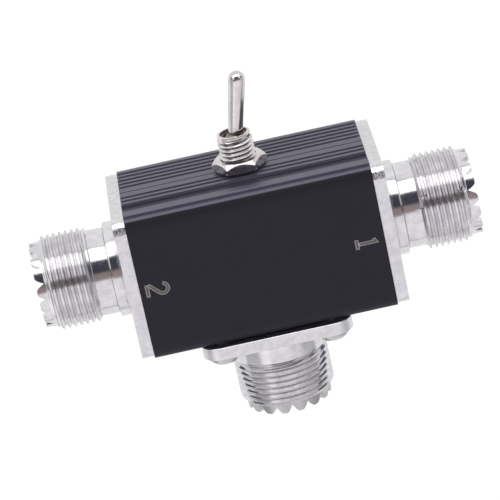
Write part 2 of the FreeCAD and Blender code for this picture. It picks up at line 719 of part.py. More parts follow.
def make_bushing():
    """The bushing: open mouth, lip over the ball, ball chamber, flaring throat."""
    body = new_body("toggle_bushing")
    ball_room = "ball_radius + ball_gap"
    bottom = "-(bushing_length + frame_thick)"
    profile = sketch_on(body, "XZ_Plane")
    outline(profile, [
        ("throat_radius", bottom),
        ("bushing_radius", bottom),
        ("bushing_radius", "-bushing_chamfer"),
        ("bushing_radius - bushing_chamfer", "0"),
        ("bushing_mouth + mouth_round", "0"),
        ("bushing_mouth", "-mouth_round"),
        ("bushing_mouth", "-mouth_depth"),
        ("lip_radius", "-mouth_depth"),
        ("lip_radius", "-(mouth_depth + lip_height)"),
        (ball_room, "ball_shoulder - pivot_depth"),
        (ball_room, "-(pivot_depth + ball_below)"),
    ])
    turned(body, "Revolution", profile)
    place(body, y=BUSHING_TOP, z=MIDDLE, turn=TOWARDS_PLUS_Y)


def make_lever():
    """The lever about its pivot: round-ended bat, ball and hollow stem."""
    body = new_body("toggle_lever")
    tip = "(pivot_depth + lever_height)"
    bore = "plunger_radius + slide_gap"
    profile = sketch_on(body, "XZ_Plane")
    outline(profile, [
        ("0", "-spring_top"),
        (bore, "-spring_top"),
        (bore, "-stem_length"),
        ("stem_radius", "-stem_length"),
        ("stem_radius", "-sqrt(ball_radius ^ 2 - stem_radius ^ 2)", "ball_radius"),
        ("lever_neck_radius", "sqrt(ball_radius ^ 2 - lever_neck_radius ^ 2)"),
        ("lever_tip_radius", f"{tip} - lever_tip_radius", "lever_tip_radius"),
        ("0", tip),
    ])
    turned(body, "Revolution", profile)
    return body


def make_plunger():
    """The sliding plunger that the spring pushes onto the rocker."""
    body = new_body("plunger")
    nose_top = "(plunger_nose + plunger_nose_side - plunger_reach)"
    profile = sketch_on(body, "XZ_Plane")
    outline(profile, [
        ("0", "-plunger_reach", "plunger_nose"),
        ("plunger_nose", "plunger_nose - plunger_reach"),
        ("plunger_nose", nose_top),
        ("plunger_radius", f"{nose_top} + plunger_nose - plunger_radius"),
        ("plunger_radius", "-plunger_top"),
        ("0", "-plunger_top"),
    ])
    turned(body, "Revolution", profile)
    return body


def swept(label, path, start, direction, radius):
    """A round wire swept along a path, as a plain shape."""
    ring = Part.Wire([Part.makeCircle(radius, start, direction)])
    feature = doc.addObject("Part::Feature", label)
    feature.Label = label
    feature.Shape = path.makePipeShell([ring], True, True)
    sub_parts.append(feature)
    return feature


def make_spring():
    """The coil spring between the plunger and the end of the lever's bore."""
    wire = size("spring_wire")
    coil = size("plunger_radius - spring_wire")
    length = size("plunger_top - spring_top - 2 * spring_wire")
    path = Part.makeHelix(length / size("spring_turns"), length, coil)
    path.translate(Vector(0, 0, wire - size("plunger_top")))
    start = Vector(coil, 0, wire - size("plunger_top"))
    return swept("plunger_spring", Part.Wire(path.Edges), start, Vector(0, 1, 0), wire)


def make_switch_frame():
    """The folded metal frame that carries the bushing and clasps the case."""
    body = new_body("switch_frame")
    half_length = "frame_length / 2"
    half_width = "(frame_width / 2)"
    top = sketch_on(body, "XY_Plane")
    rectangle(top, f"-{half_length}", f"-{half_width}", half_length, half_width)
    circle(top, BUSHING_HOLE)
    pad(body, top, "frame_thick", reverse=True)
    legs = sketch_on(body, "XY_Plane")
    outer = f"({half_width} + leg_thick)"
    rectangle(legs, "-leg_width / 2", half_width, "leg_width / 2", outer)
    rectangle(legs, "-leg_width / 2", f"-{outer}", "leg_width / 2", f"-{half_width}")
    pad(body, legs, "frame_thick + leg_reach", reverse=True)
    place(body, y=FRAME_TOP, z=MIDDLE, turn=TOWARDS_PLUS_Y)


def make_switch_case():
    """The moulded case, open at its top, with slots for three terminals."""
    body = new_body("switch_case")
    half_length = "(frame_length / 2)"
    half_width = "(frame_width / 2 - slide_gap)"
    block = sketch_on(body, "XY_Plane")
    rectangle(block, f"-{half_length}", f"-{half_width}", half_length, half_width)
    pad(body, block, "case_height", reverse=True)
    room = sketch_on(body, "XY_Plane")
    room_x = f"({half_length} - case_wall)"
    room_y = f"({half_width} - case_wall)"
    rectangle(room, f"-{room_x}", f"-{room_y}", room_x, room_y)
    pocket(body, room, "case_height - case_floor")
    slots = sketch_on(body, "XY_Plane")
    thin = "(terminal_thick / 2 + slide_gap)"
    wide = "(terminal_width / 2 + slide_gap)"
    for step in (-1, 0, 1):
        x = f"{step} * {TERMINAL_AT}"
        rectangle(slots, f"{x} - {thin}", f"-{wide}", f"{x} + {thin}", wide)
    pocket(body, slots, "case_height + overcut")
    place(body, y=CASE_TOP, z=MIDDLE, turn=TOWARDS_PLUS_Y)


def make_terminal(label, step, width, head_height):
    """A terminal: blade through the case's floor, foot, round head, solder eye."""
    body = new_body(label)
    half = "terminal_thick / 2"
    blade = sketch_on(body, "XY_Plane")
    rectangle(blade, f"-{half}", TERMINAL_END, half, head_height)
    pad(body, blade, width, symmetric=True)
    foot = sketch_on(body, "XY_Plane")
    rectangle(foot, f"-{half} - foot_reach", CASE_FLOOR,
              f"{half} + foot_reach", f"{CASE_FLOOR} + foot_height")
    pad(body, foot, width, symmetric=True)
    head = sketch_on(body, "XY_Plane")
    circle(head, "terminal_head", "0", head_height)
    pad(body, head, width, symmetric=True)
    eye = sketch_on(body, "YZ_Plane")
    circle(eye, "eye_radius", f"{TERMINAL_END} + eye_height", "0")
    pocket(body, eye, "terminal_thick + overcut", symmetric=True)
    place(body, x=f"{step} * {TERMINAL_AT}", z=MIDDLE)


def make_rocker():
    """The see-saw contact about its axis: a shallow trough with two cheeks."""
    body = new_body("rocker_contact")
    rise = f"{ROCKER_HALF} * tan(rocker_dish)"
    under = "rocker_gap - rocker_thick"
    trough = sketch_on(body, "XY_Plane")
    outline(trough, [
        ("0", under),
        (ROCKER_HALF, f"{under} + {rise}"),
        (ROCKER_HALF, f"rocker_gap + {rise}"),
        ("0", "rocker_gap"),
        (f"-{ROCKER_HALF}", f"rocker_gap + {rise}"),
        (f"-{ROCKER_HALF}", f"{under} + {rise}"),
    ])
    pad(body, trough, "rocker_width", symmetric=True)
    for side in (-1, 1):
        cheek = sketch_on(body, "XY_Plane", z=f"{side} * (rocker_width - cheek_thick) / 2")
        rectangle(cheek, "-cheek_width / 2", "-cheek_drop",
                  "cheek_width / 2", "rocker_gap - rocker_thick / 2")
        pad(body, cheek, "cheek_thick", symmetric=True)
    tilt = Rotation(Vector(0, 0, 1), size("rocker_angle"))
    place(body, y=ROCKER_AXIS, z=MIDDLE, turn=tilt)


def make_toggle():
    """Everything of the toggle switch, from the nut down to the terminals."""
    make_bushing()
    washer = make_washer("toggle_washer", BUSHING_HOLE, "toggle_washer_radius",
                         "toggle_washer_thick")
    place(washer, y=MIDDLE, z=MIDDLE, turn=TOWARDS_PLUS_Y)
    nut = make_hex_nut("toggle_nut", "toggle_nut_flats", "toggle_nut_thick",
                       BUSHING_HOLE, "toggle_nut_face")
    place(nut, y=f"{MIDDLE} + toggle_washer_thick", z=MIDDLE, turn=TOWARDS_PLUS_Y)
    keyed = make_washer("toggle_keyed_washer", BUSHING_HOLE, "key_washer_radius",
                        "key_washer_thick")
    place(keyed, y=FRAME_TOP, z=MIDDLE, turn=TOWARDS_PLUS_Y)
    lock = make_washer("toggle_lock_washer", BUSHING_HOLE, "lock_washer_radius",
                       "lock_washer_thick", toothed=True)
    place(lock, y=f"{FRAME_TOP} + key_washer_thick", z=MIDDLE, turn=TOWARDS_PLUS_Y)

    # The lever and what it carries are thrown towards antenna socket 1.
    thrown = Rotation(Vector(0, 0, 1), -size("lever_angle")).multiply(TOWARDS_PLUS_Y)
    for part in (make_lever(), make_plunger(), make_spring()):
        place(part, y=PIVOT, z=MIDDLE, turn=thrown)

    make_switch_frame()
    make_switch_case()
    make_rocker()
    inner_width = "rocker_width - 2 * (cheek_thick + touch_gap)"
    make_terminal("common_terminal", 0, inner_width, ROCKER_AXIS)
    # A lowered arm comes down to this height over a side terminal.
    under = "(rocker_gap - rocker_thick)"
    slope = "(rocker_dish - rocker_angle)"
    run = f"({TERMINAL_AT} - {under} * sin(rocker_angle))"
    arm = f"{ROCKER_AXIS} + {under} * cos(rocker_angle) + {run} * tan({slope})"
    head_height = f"({arm} - (terminal_head + touch_gap) / cos({slope}))"
    make_terminal("ant1_terminal", -1, "terminal_width", head_height)
    make_terminal("ant2_terminal", 1, "terminal_width", head_height)


# ---------------------------------------------------------------- wiring

def bent_path(points, bend):
    """Straight runs joined by tangent arcs, as one path."""
    edges = []
    start = points[0]
    for before, corner, after in zip(points, points[1:], points[2:]):
        into = (corner - before).normalize()
        out = (after - corner).normalize()
        half_turn = into.getAngle(out) / 2
        first = corner - into * bend * math.tan(half_turn)
        last = corner + out * bend * math.tan(half_turn)
        sideways = (out - into).normalize()
        middle = corner + sideways * bend * (1 / math.cos(half_turn) - 1)
        edges.append(Part.LineSegment(start, first).toShape())
        edges.append(Part.Arc(first, middle, last).toShape())
        start = last
    edges.append(Part.LineSegment(start, points[-1]).toShape())
    return Part.Wire(edges)


def make_wire(label, points):
    """A hook-up wire along a bent path."""
    radius = size("wire_radius")
    path = bent_path(points, size("wire_bend"))
    wire = swept(label, path, points[0], points[1] - points[0], radius)
    expected = math.pi * radius ** 2 * path.Length
    if abs(wire.Shape.Volume / expected - 1) > 0.02:
        raise RuntimeError(f"{label} is not a clean sweep")


def make_wires():
    """The antenna wires cross under the switch, the third goes straight down."""
    middle = size(MIDDLE)
    cup_x = size(f"{PLATE_OUTER} - spigot_length")
    corner_x = cup_x - size("wire_lead")
    low_x = corner_x - size("wire_slant")
    tail_y = size(TERMINAL_END)
    low_y = tail_y - size("wire_drop")
    terminal_x = size(TERMINAL_AT)
    for label, side in (("ant1_wire", 1), ("ant2_wire", -1)):
        beside = middle + side * size("wire_offset")
        make_wire(label, [
            Vector(side * cup_x, 0, middle),
            Vector(side * corner_x, 0, middle),
            Vector(side * low_x, low_y, beside),
            Vector(-side * terminal_x, low_y, middle),
            Vector(-side * terminal_x, tail_y, middle),
        ])
    cup_y = size(f"flange_spigot - {MIDDLE}")
    make_wire("tx_wire", [Vector(0, cup_y, middle), Vector(0, tail_y, middle)])


# ---------------------------------------------------------------- build

make_shell()
make_antenna_end("ant1", 1, TOWARDS_PLUS_X)
make_antenna_end("ant2", -1, TOWARDS_MINUS_X)
make_transmitter_side()
make_toggle()
make_wires()
doc.recompute()

for item in doc.Objects:
    if "Invalid" in item.State or "Error" in item.State:
        raise RuntimeError(f"{item.Label} failed: {item.State}")
for part in sub_parts:
    shape = part.Shape
    if shape.isNull() or not shape.isValid() or shape.Volume <= 0:
        raise RuntimeError(f"{part.Label} has no valid solid")

os.makedirs("parts", exist_ok=True)
for part in sub_parts:
    part.Shape.exportStep(f"parts/{part.Label}.step")
    print(f"{part.Label:22s} solids {len(part.Shape.Solids)} volume {part.Shape.Volume:9.2f}")
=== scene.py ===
import json
import math

import bmesh
import bpy
from mathutils import Matrix, Vector


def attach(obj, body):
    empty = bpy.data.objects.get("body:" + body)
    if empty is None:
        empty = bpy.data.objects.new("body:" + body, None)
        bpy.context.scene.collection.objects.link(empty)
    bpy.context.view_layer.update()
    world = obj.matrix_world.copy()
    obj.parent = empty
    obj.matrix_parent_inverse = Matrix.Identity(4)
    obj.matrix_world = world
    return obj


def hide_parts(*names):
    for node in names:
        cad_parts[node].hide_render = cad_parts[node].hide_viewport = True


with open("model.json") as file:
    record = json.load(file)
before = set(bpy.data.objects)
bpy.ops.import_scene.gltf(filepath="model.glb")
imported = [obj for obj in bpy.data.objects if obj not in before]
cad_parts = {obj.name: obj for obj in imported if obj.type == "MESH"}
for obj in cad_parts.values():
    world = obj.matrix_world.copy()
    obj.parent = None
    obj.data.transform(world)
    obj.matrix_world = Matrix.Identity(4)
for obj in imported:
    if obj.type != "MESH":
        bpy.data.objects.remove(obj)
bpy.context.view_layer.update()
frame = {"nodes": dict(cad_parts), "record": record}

NODES = frame["nodes"]
MM = 0.001

# Sizes are in millimetres. The shell lies on its back: +X points to antenna socket 1,
# +Y to the toggle, and +Z out of the labelled face.
AXIS_HEIGHT = 12.7
SHELL_HALF = 12.7
SHELL_TOP = 2 * SHELL_HALF
SHELL_HALF_LENGTH = 20.25
SHELL_ROUND = 2.8
GROOVE_DEPTH = 0.5
PLATE_THICK = 2.0
# Distances from the middle of an end plate between which its rounded corners begin.
PLATE_CORNER = (15.5, 15.8)

# How far behind the labelled face the film's two long edges lie.
FILM_UPPER = 0.93
FILM_LOWER = 3.0

# How far the edges of turned pieces are broken.
EDGE = 0.12

# The coupling that all three sockets share, from the shank to the tips of its teeth.
COLUMNS = 192
THREAD_CREST = 7.95
THREAD_DEPTH = 0.60
THREAD_PITCH = 1.0
THREAD_LENGTH = 7.85
THREAD_FADE = 0.5
RIM_RADIUS = 7.1
RIM_LENGTH = 1.75
RUN_OUT_RADIUS = RIM_RADIUS + 0.1
BARREL_BORE = 5.95
SPIGOT_BORE = 4.25
STEP_HEIGHT = 1.0

# Antenna socket: spigot through the end plate, collar, and neck up to the thread.
ANTENNA_SEAT = SHELL_HALF_LENGTH + PLATE_THICK
ANTENNA_SHANK = 4.9
SPIGOT_RADIUS = 6.0
SPIGOT_DEPTH = 6.0
COLLAR_RADIUS = 7.9
COLLAR_LENGTH = 2.0
COLLAR_ROUND = 0.2
NECK_RADIUS = 7.15

# Transmitter socket: barrel set in a square flange with four screws.
FLANGE_THICK = 2.1
FLANGE_HALF = 12.5
FLANGE_CORNER = 3.0
FLANGE_BEVEL = 0.08
FLANGE_BORE = 6.3
SCREW_HOLE = 1.5
SCREW_AT = 9.1
TRANSMITTER_SEAT = SHELL_HALF + FLANGE_THICK
TRANSMITTER_SHANK = 4.7
SHANK_RADIUS = 7.75
SHANK_DEPTH = 0.6
INSERT_RADIUS = 6.4
INSERT_DEPTH = 5.1

# The toggle's bushing.
BUSHING_COLUMNS = 96
BUSHING_BOTTOM = SHELL_HALF - 3.5
BUSHING_TOP = SHELL_HALF + 6.2
BUSHING_CREST = 2.95
BUSHING_DEPTH = 0.45
BUSHING_PITCH = 0.75
BUSHING_FADE = 0.30
BUSHING_NECK = 2.72
BUSHING_MOUTH = 2.2
BUSHING_LIP = 1.75
BUSHING_SEAT = 2.16
# How far the round on its upper edge reaches, across it and down it.
BUSHING_ROUND = (0.24, 0.32)
# How far from its lower and upper ends the thread starts and stops.
BUSHING_PLAIN = (0.1, 0.75)
# Depths below its upper end: top and bottom of the lip over the lever's ball, top and
# bottom of the ball's seat, and the top of the throat under it.
LIP_DEPTHS = (0.4, 0.8)
SEAT_DEPTHS = (1.45, 3.0)
THROAT_DEPTH = 3.6

# The point that the lever turns about.
PIVOT_Y = BUSHING_TOP - 2.0
# Distances from that point between which the grease on the lever's ball ends.
BALL_EDGE = (2.2, 2.5)

# The engraved numbers: pen stroke, bright line round it, depth of both, and place on X.
STROKE_WIDTH = 0.66
LINE_WIDTH = 0.17
FLOOR_DEPTH = 0.04
LINE_DEPTH = 0.08
NUMBER_AT = 17.3


# ------------------------------------------------------------ shader maths

class Field:
    """A node output that Python arithmetic turns into Math nodes."""

    def __init__(self, paint, socket):
        self.paint = paint
        self.socket = socket

    def math(self, operation, *others):
        node = self.paint.node("ShaderNodeMath", {"operation": operation}, [self, *others])
        return node.out()

    def __add__(self, other):
        return self.math("ADD", other)

    def __mul__(self, other):
        return self.math("MULTIPLY", other)

    __radd__ = __add__
    __rmul__ = __mul__

    def __sub__(self, other):
        return self.math("SUBTRACT", other)

    def __rsub__(self, other):
        return self.paint.node("ShaderNodeMath", {"operation": "SUBTRACT"}, [other, self]).out()

    def __pow__(self, other):
        return self.math("POWER", other)

    def above(self, level):
        return self.math("GREATER_THAN", level)

    def clamped(self):
        return self.paint.node("ShaderNodeClamp", {}, {"Value": self}).out()

    def between(self, low, high, to_low=0.0, to_high=1.0):
        """Map this range smoothly onto another, held at both ends."""
        links = {"Value": self, "From Min": low, "From Max": high,
                 "To Min": to_low, "To Max": to_high}
        settings = {"interpolation_type": "SMOOTHSTEP"}
        return self.paint.node("ShaderNodeMapRange", settings, links).out()

    def band(self, start, full, fall, end):
        """One from full to fall, and smoothly down to zero at start and at end."""
        return self.between(start, full) * (1 - self.between(fall, end))


class Made:
    """A node that has been made, with its outputs at hand."""

    def __init__(self, paint, node):
        self.paint = paint
        self.node = node

    def out(self, name=0):
        return Field(self.paint, self.node.outputs[name])


class Paint:
    """One node tree: a procedural material, or the world."""

    def __init__(self, tree):
        self.tree = tree
        self.tree.nodes.clear()

    def node(self, kind, settings=None, inputs=None):
        """Add a node: its settings first, then its socket values and links."""
        node = self.tree.nodes.new(kind)
        for key, value in (settings or {}).items():
            if key == "stops":
                self.set_stops(node.color_ramp, value)
            else:
                setattr(node, key, value)
        pairs = inputs.items() if isinstance(inputs, dict) else enumerate(inputs or [])
        for key, value in pairs:
            if isinstance(value, Field):
                self.tree.links.new(value.socket, node.inputs[key])
            else:
                node.inputs[key].default_value = value
        return Made(self, node)

    @staticmethod
    def set_stops(ramp, stops):
        """Fill a colour ramp, which always keeps one stop, with these stops."""
        while len(ramp.elements) > 1:
            ramp.elements.remove(ramp.elements[-1])
        ramp.elements[0].position = stops[0][0]
        ramp.elements[0].color = (*stops[0][1], 1.0)
        for place, colour in stops[1:]:
            ramp.elements.new(place).color = (*colour, 1.0)

    def place(self, stretch=(1.0, 1.0, 1.0)):
        """Position on the object in millimetres, stretched along its axes."""
        spot = self.node("ShaderNodeTexCoord").out("Object")
        scale = tuple(factor / MM for factor in stretch)
        return self.node("ShaderNodeVectorMath", {"operation": "MULTIPLY"}, [spot, scale]).out()

    def split(self, vector):
        made = self.node("ShaderNodeSeparateXYZ", {}, [vector])
        return made.out("X"), made.out("Y"), made.out("Z")

    def noise(self, per_mm, detail=3.0, stretch=(1.0, 1.0, 1.0), rough=0.55):
        inputs = {"Vector": self.place(stretch), "Scale": per_mm, "Detail": detail,
                  "Roughness": rough}
        return self.node("ShaderNodeTexNoise", {}, inputs).out(0)

    def blend(self, factor, first, second):
        """Mix two colours, or two outputs that carry colour."""
        inputs = {0: factor, 6: first, 7: second}
        return self.node("ShaderNodeMix", {"data_type": "RGBA"}, inputs).out(2)

    def bump(self, height, distance_mm, strength=1.0):
        inputs = {"Height": height, "Distance": distance_mm * MM, "Strength": strength}
        return self.node("ShaderNodeBump", {}, inputs).out()

    def finish(self, **sockets):
        """The Principled shader, with socket names written as words."""
        inputs = {name.replace("_", " "): value for name, value in sockets.items()}
        shader = self.node("ShaderNodeBsdfPrincipled", {}, inputs).out()
        self.node("ShaderNodeOutputMaterial", {}, {"Surface": shader})


def material(name):
    """An empty material and the paint for its node tree."""
    made = bpy.data.materials.new(name)
    made.use_nodes = True
    return made, Paint(made.node_tree)


def rgb(red, green, blue):
    return (red, green, blue, 1.0)


def from_axis(aside, up):
    """Distance from a line at the height of the sockets' axes."""
    rise = up - AXIS_HEIGHT
    return (aside * aside + rise * rise) ** 0.5


# ------------------------------------------------------------ finishes

def black_shell():
    """Black anodised extrusion with fine lines along X, and a black film on its front."""
    made, paint = material("black_shell")
    _, along_y, up = paint.split(paint.place())
    sideways = along_y.math("ABSOLUTE")
    upper = along_y.above(0.0)
    behind = SHELL_TOP - up
    lines = paint.noise(2.2, 4.0, (0.03, 1.0, 1.0))
    grain = paint.noise(9.0, 2.0)
    cloud = paint.noise(0.12, 3.0)

    # Ribbed sides: raised land, groove walls and groove floors, and the bare shoulder.
    rounding = (up - AXIS_HEIGHT).math("ABSOLUTE").above(SHELL_HALF - SHELL_ROUND + 0.25)
    level = 1 - rounding
    sunk = (1 - sideways.between(SHELL_HALF - 0.10, SHELL_HALF - 0.04)) * level
    floored = (1 - sideways.above(SHELL_HALF - GROOVE_DEPTH + 0.03)) * level
    shoulder_highlight = up.above(SHELL_TOP - SHELL_ROUND + 0.1) * (1 - sunk)
    land = paint.blend(lines, rgb(0.073, 0.070, 0.096), rgb(0.112, 0.108, 0.147))
    # Painted light: the groove walls are coloured paler than the land.
    lit_wall = paint.blend(lines, rgb(0.190, 0.182, 0.240), rgb(0.260, 0.250, 0.330))
    # Painted shade: the groove floors are coloured darker than the land.
    shaded_channel = paint.blend(lines, rgb(0.040, 0.038, 0.054), rgb(0.058, 0.055, 0.077))
    # Painted highlight: the bare shoulder on the upper rounding is coloured paler.
    raised = paint.blend(shoulder_highlight, land, rgb(0.160, 0.155, 0.200))
    bare = paint.blend(sunk, raised, paint.blend(floored, lit_wall, shaded_channel))

    # Film: darker with painted shade where it folds over the toggle side's edge, and lighter with
    # a painted sheen towards its other edge.
    film_edge = upper * (FILM_LOWER - FILM_UPPER) + (SHELL_TOP - FILM_LOWER)
    film = (up - film_edge).between(-0.10, 0.10)
    fold_shade = behind.between(0.15, 0.5) * upper
    # Painted sheen: the film grows paler towards its edge on the transmitter side.
    edge_sheen = behind.between(0.5, 2.2) * (1 - upper)
    flat_film = paint.blend(cloud, rgb(0.0268, 0.0255, 0.0370), rgb(0.0300, 0.0286, 0.0412))
    shaded_film = paint.blend(fold_shade, flat_film, rgb(0.0180, 0.0172, 0.0250))
    printed = paint.blend(edge_sheen, shaded_film, rgb(0.086, 0.083, 0.100))

    height = 0.7 * lines + 0.3 * grain
    paint.finish(
        Base_Color=paint.blend(film, bare, printed),
        Roughness=0.36 + 0.10 * grain + 0.06 * cloud + 0.08 * film,
        Normal=paint.bump(height * (1 - 0.8 * film), 0.02, 0.5),
        Coat_Weight=0.7 * (1 - film) * (1 - 0.6 * floored),
        Coat_Roughness=0.3,
        Coat_Tint=rgb(0.90, 0.89, 1.0),
        Specular_IOR_Level=0.2,
    )
    return made


def satin_plate():
    """Tumbled and plated sheet: pale, soft shine with faint mottling."""
    made, paint = material("satin_plate")
    mottle = paint.noise(0.9, 5.0)
    grain = paint.noise(7.0, 3.0)
    across, along_y, up = paint.split(paint.place())

    # The end plates' rounded corners are glossier, and the plating is torn off a strip
    # of each corner on the toggle side.
    outside = across.math("ABSOLUTE").above(SHELL_HALF_LENGTH - 0.1)
    bent = outside * from_axis(along_y, up).between(*PLATE_CORNER)
    strip = along_y.band(10.1, 10.4, 11.1, 11.4)
    torn = bent * strip * paint.noise(3.6, 2.0, rough=0.8).between(0.50, 0.60)
    clean = paint.blend(mottle.between(0.3, 0.7), rgb(0.78, 0.77, 0.80), rgb(0.94, 0.93, 0.95))
    paint.finish(
        Base_Color=paint.blend(torn, clean, rgb(0.50, 0.49, 0.50)),
        Metallic=1 - 0.9 * torn,
        Roughness=0.20 + 0.16 * mottle + 0.08 * grain - 0.25 * bent,
        Normal=paint.bump(0.4 * mottle + 0.4 * grain + 1.5 * torn, 0.05, 0.6),
    )
    return made


def nickel_sockets(paint, tone, rough, shade_and_seam=0.0, inside=0.0):
    """Socket values for nickel, dulled by painted shade and darker seam lines, and tarnished as
    far as inside says.
    """
    haze = paint.noise(0.5, 4.0)
    grain = paint.noise(6.0, 3.0)
    specks = paint.noise(2.4, 5.0).between(0.61, 0.70)
    red, green, blue = tone
    hazy = rgb(red - 0.10, green - 0.10, blue - 0.09)
    clear = rgb(red + 0.06, green + 0.05, blue + 0.06)
    clean = paint.blend(haze.between(0.3, 0.7), hazy, clear)
    dull = paint.blend(grain, rgb(0.20, 0.19, 0.19), rgb(0.36, 0.35, 0.35))
    outside = paint.blend((0.30 * specks + shade_and_seam).clamped(), clean, dull)
    tarnish = paint.blend(grain, rgb(0.26, 0.215, 0.195), rgb(0.40, 0.345, 0.32))
    texture = 0.07 * haze + 0.05 * grain + 0.12 * specks
    return {
        "Base_Color": paint.blend(inside, outside, tarnish),
        "Metallic": 1.0,
        "Roughness": rough + texture + 0.2 * shade_and_seam + 0.35 * inside,
        "Normal": paint.bump(0.5 * grain + 0.5 * haze, 0.012, 0.4),
    }


def bright_nickel(name, tone, rough):
    """Bright nickel on turned brass, with a faint haze and fine specks."""
    made, paint = material(name)
    paint.finish(**nickel_sockets(paint, tone, rough))
    return made


def threaded_nickel(name, axis, tone, rough, radii, span, root_shade=0.45, crest_shade=0.35,
                    bore_radius=0.0, rim_shade=0.0, seam=None):
    """Nickel on a threaded piece that lies along X or Y.

    Within the span, the roots and the crests are darkened with painted shade, each by its
    own amount, and the rim beyond the span with a painted reflection of a darker floor.
    A seam is a darker line round the piece. The inside of the bore is tarnished.
    """
    made, paint = material(name)
    across, along_y, up = paint.split(paint.place())
    aside, lengthwise = (along_y, across) if axis == "X" else (across, along_y)
    radius = from_axis(aside, up)
    reach = lengthwise.math("ABSOLUTE")
    root_radius, crest_radius = radii
    start, end = span
    threaded = reach.above(start) * (1 - reach.above(end))
    root = 1 - radius.between(root_radius + 0.02, root_radius + 0.10)
    crest = radius.between(crest_radius - 0.05, crest_radius - 0.02)
    # Painted shade on roots and crests in the span, and a painted reflection on the rim.
    shade_and_seam = (root_shade * root + crest_shade * crest) * threaded + rim_shade * reach.above(end + 0.2)
    if seam is not None:
        shade_and_seam = shade_and_seam + 0.7 * reach.band(seam - 0.12, seam - 0.04, seam + 0.06, seam + 0.14)
    inside = 1 - radius.above(bore_radius)
    paint.finish(**nickel_sockets(paint, tone, rough, shade_and_seam, inside))
    return made


def lever_nickel(tone, rough):
    """Bright nickel on the lever, brown with grease round its ball."""
    made, paint = material("lever_nickel")
    across, along_y, up = paint.split(paint.place())
    beyond = along_y - PIVOT_Y
    rise = up - AXIS_HEIGHT
    from_pivot = (across * across + beyond * beyond + rise * rise) ** 0.5
    greasy = 1 - from_pivot.between(*BALL_EDGE)
    paint.finish(**nickel_sockets(paint, tone, rough, inside=greasy))
    return made


def plain_metal(name, per_mm, dull, bright, rough):
    """Metal with a soft haze between two tones."""
    made, paint = material(name)
    haze = paint.noise(per_mm, 4.0)
    paint.finish(
        Base_Color=paint.blend(haze, dull, bright),
        Metallic=1.0,
        Roughness=rough + 0.2 * haze,
        Normal=paint.bump(haze, 0.01, 0.4),
    )
    return made


def moulded(name, dark, light):
    """Moulded plastic, or the washer's steel darkened as painted shade: cloudy, with a fine skin.
    """
    made, paint = material(name)
    cloud = paint.noise(1.0, 4.0)
    paint.finish(
        Base_Color=paint.blend(cloud, dark, light),
        Roughness=0.4 + 0.2 * cloud,
        Normal=paint.bump(paint.noise(8.0, 2.0), 0.01, 0.5),
    )
    return made


def white_insulator():
    """Turned fluoropolymer: milky white with a soft sheen."""
    made, paint = material("white_insulator")
    cloud = paint.noise(0.6, 3.0)
    paint.finish(
        Base_Color=paint.blend(cloud, rgb(0.82, 0.81, 0.78), rgb(0.90, 0.89, 0.86)),
        Roughness=0.35 + 0.15 * cloud,
        Normal=paint.bump(paint.noise(5.0, 3.0), 0.01, 0.4),
    )
    return made


def engraved_metal():
    """Scratched bare metal: a dull floor, and a brighter line where it is deeper."""
    made, paint = material("engraved_metal")
    _, _, up = paint.split(paint.place())
    deep = 1 - up.above(SHELL_TOP - (FLOOR_DEPTH + LINE_DEPTH) / 2)
    grain = paint.noise(8.0, 3.0)
    floor_tone = paint.blend(grain, rgb(0.12, 0.115, 0.115), rgb(0.20, 0.19, 0.185))
    line_tone = paint.blend(grain, rgb(0.40, 0.385, 0.37), rgb(0.62, 0.60, 0.57))
    paint.finish(
        Base_Color=paint.blend(deep, floor_tone, line_tone),
        Metallic=0.1,
        Roughness=0.7,
        Normal=paint.bump(grain, 0.02, 0.6),
    )
    return made


def thread_span(seat, shank, run_in, run_out):
    """Where a coupling's thread carries its painted shade, as distances from the shell's middle.
    """
    start = seat + shank
    return (start + run_in, start + THREAD_LENGTH - run_out)


SOCKET_TONE = (0.88, 0.87, 0.88)
SOCKET_ROUGH = 0.07
COUPLING_RADII = (THREAD_CREST - THREAD_DEPTH, THREAD_CREST)
TOGGLE_TONE = (0.86, 0.82, 0.81)
TOGGLE_ROUGH = 0.06

SHELL_BLACK = black_shell()
PLATE_SATIN = satin_plate()
SOCKET_NICKEL = bright_nickel("socket_nickel", SOCKET_TONE, SOCKET_ROUGH)
ANTENNA_NICKEL = threaded_nickel(
    "antenna_socket_nickel", "X", SOCKET_TONE, SOCKET_ROUGH, COUPLING_RADII,
    thread_span(ANTENNA_SEAT, ANTENNA_SHANK, run_in=0.15, run_out=0.30),
    root_shade=0.42, crest_shade=0.55, seam=ANTENNA_SEAT + COLLAR_LENGTH + 0.05)
# Its rim is darkened by a painted reflection of a darker floor.
TRANSMITTER_NICKEL = threaded_nickel(
    "transmitter_socket_nickel", "Y", SOCKET_TONE, SOCKET_ROUGH, COUPLING_RADII,
    thread_span(TRANSMITTER_SEAT, TRANSMITTER_SHANK, run_in=0.20, run_out=0.25),
    rim_shade=0.45)
TOGGLE_NICKEL = bright_nickel("toggle_nickel", TOGGLE_TONE, TOGGLE_ROUGH)
NUT_NICKEL = bright_nickel("nut_nickel", TOGGLE_TONE, 0.11)
LEVER_NICKEL = lever_nickel(TOGGLE_TONE, TOGGLE_ROUGH)
BUSHING_NICKEL = threaded_nickel(
    "bushing_nickel", "Y", TOGGLE_TONE, TOGGLE_ROUGH, (BUSHING_CREST - 0.40, BUSHING_CREST),
    (SHELL_HALF - 0.5, BUSHING_TOP - 1.0), root_shade=0.95, crest_shade=0.0,
    bore_radius=BUSHING_MOUTH + 0.08)
ZINC = plain_metal("zinc_steel", 1.2, rgb(0.60, 0.60, 0.59), rgb(0.74, 0.74, 0.72), 0.2)
SILVER = plain_metal("silver_contact", 1.5, rgb(0.72, 0.66, 0.52), rgb(0.86, 0.82, 0.70), 0.16)
COPPER = plain_metal("tinned_copper", 1.8, rgb(0.62, 0.34, 0.20), rgb(0.74, 0.50, 0.36), 0.25)
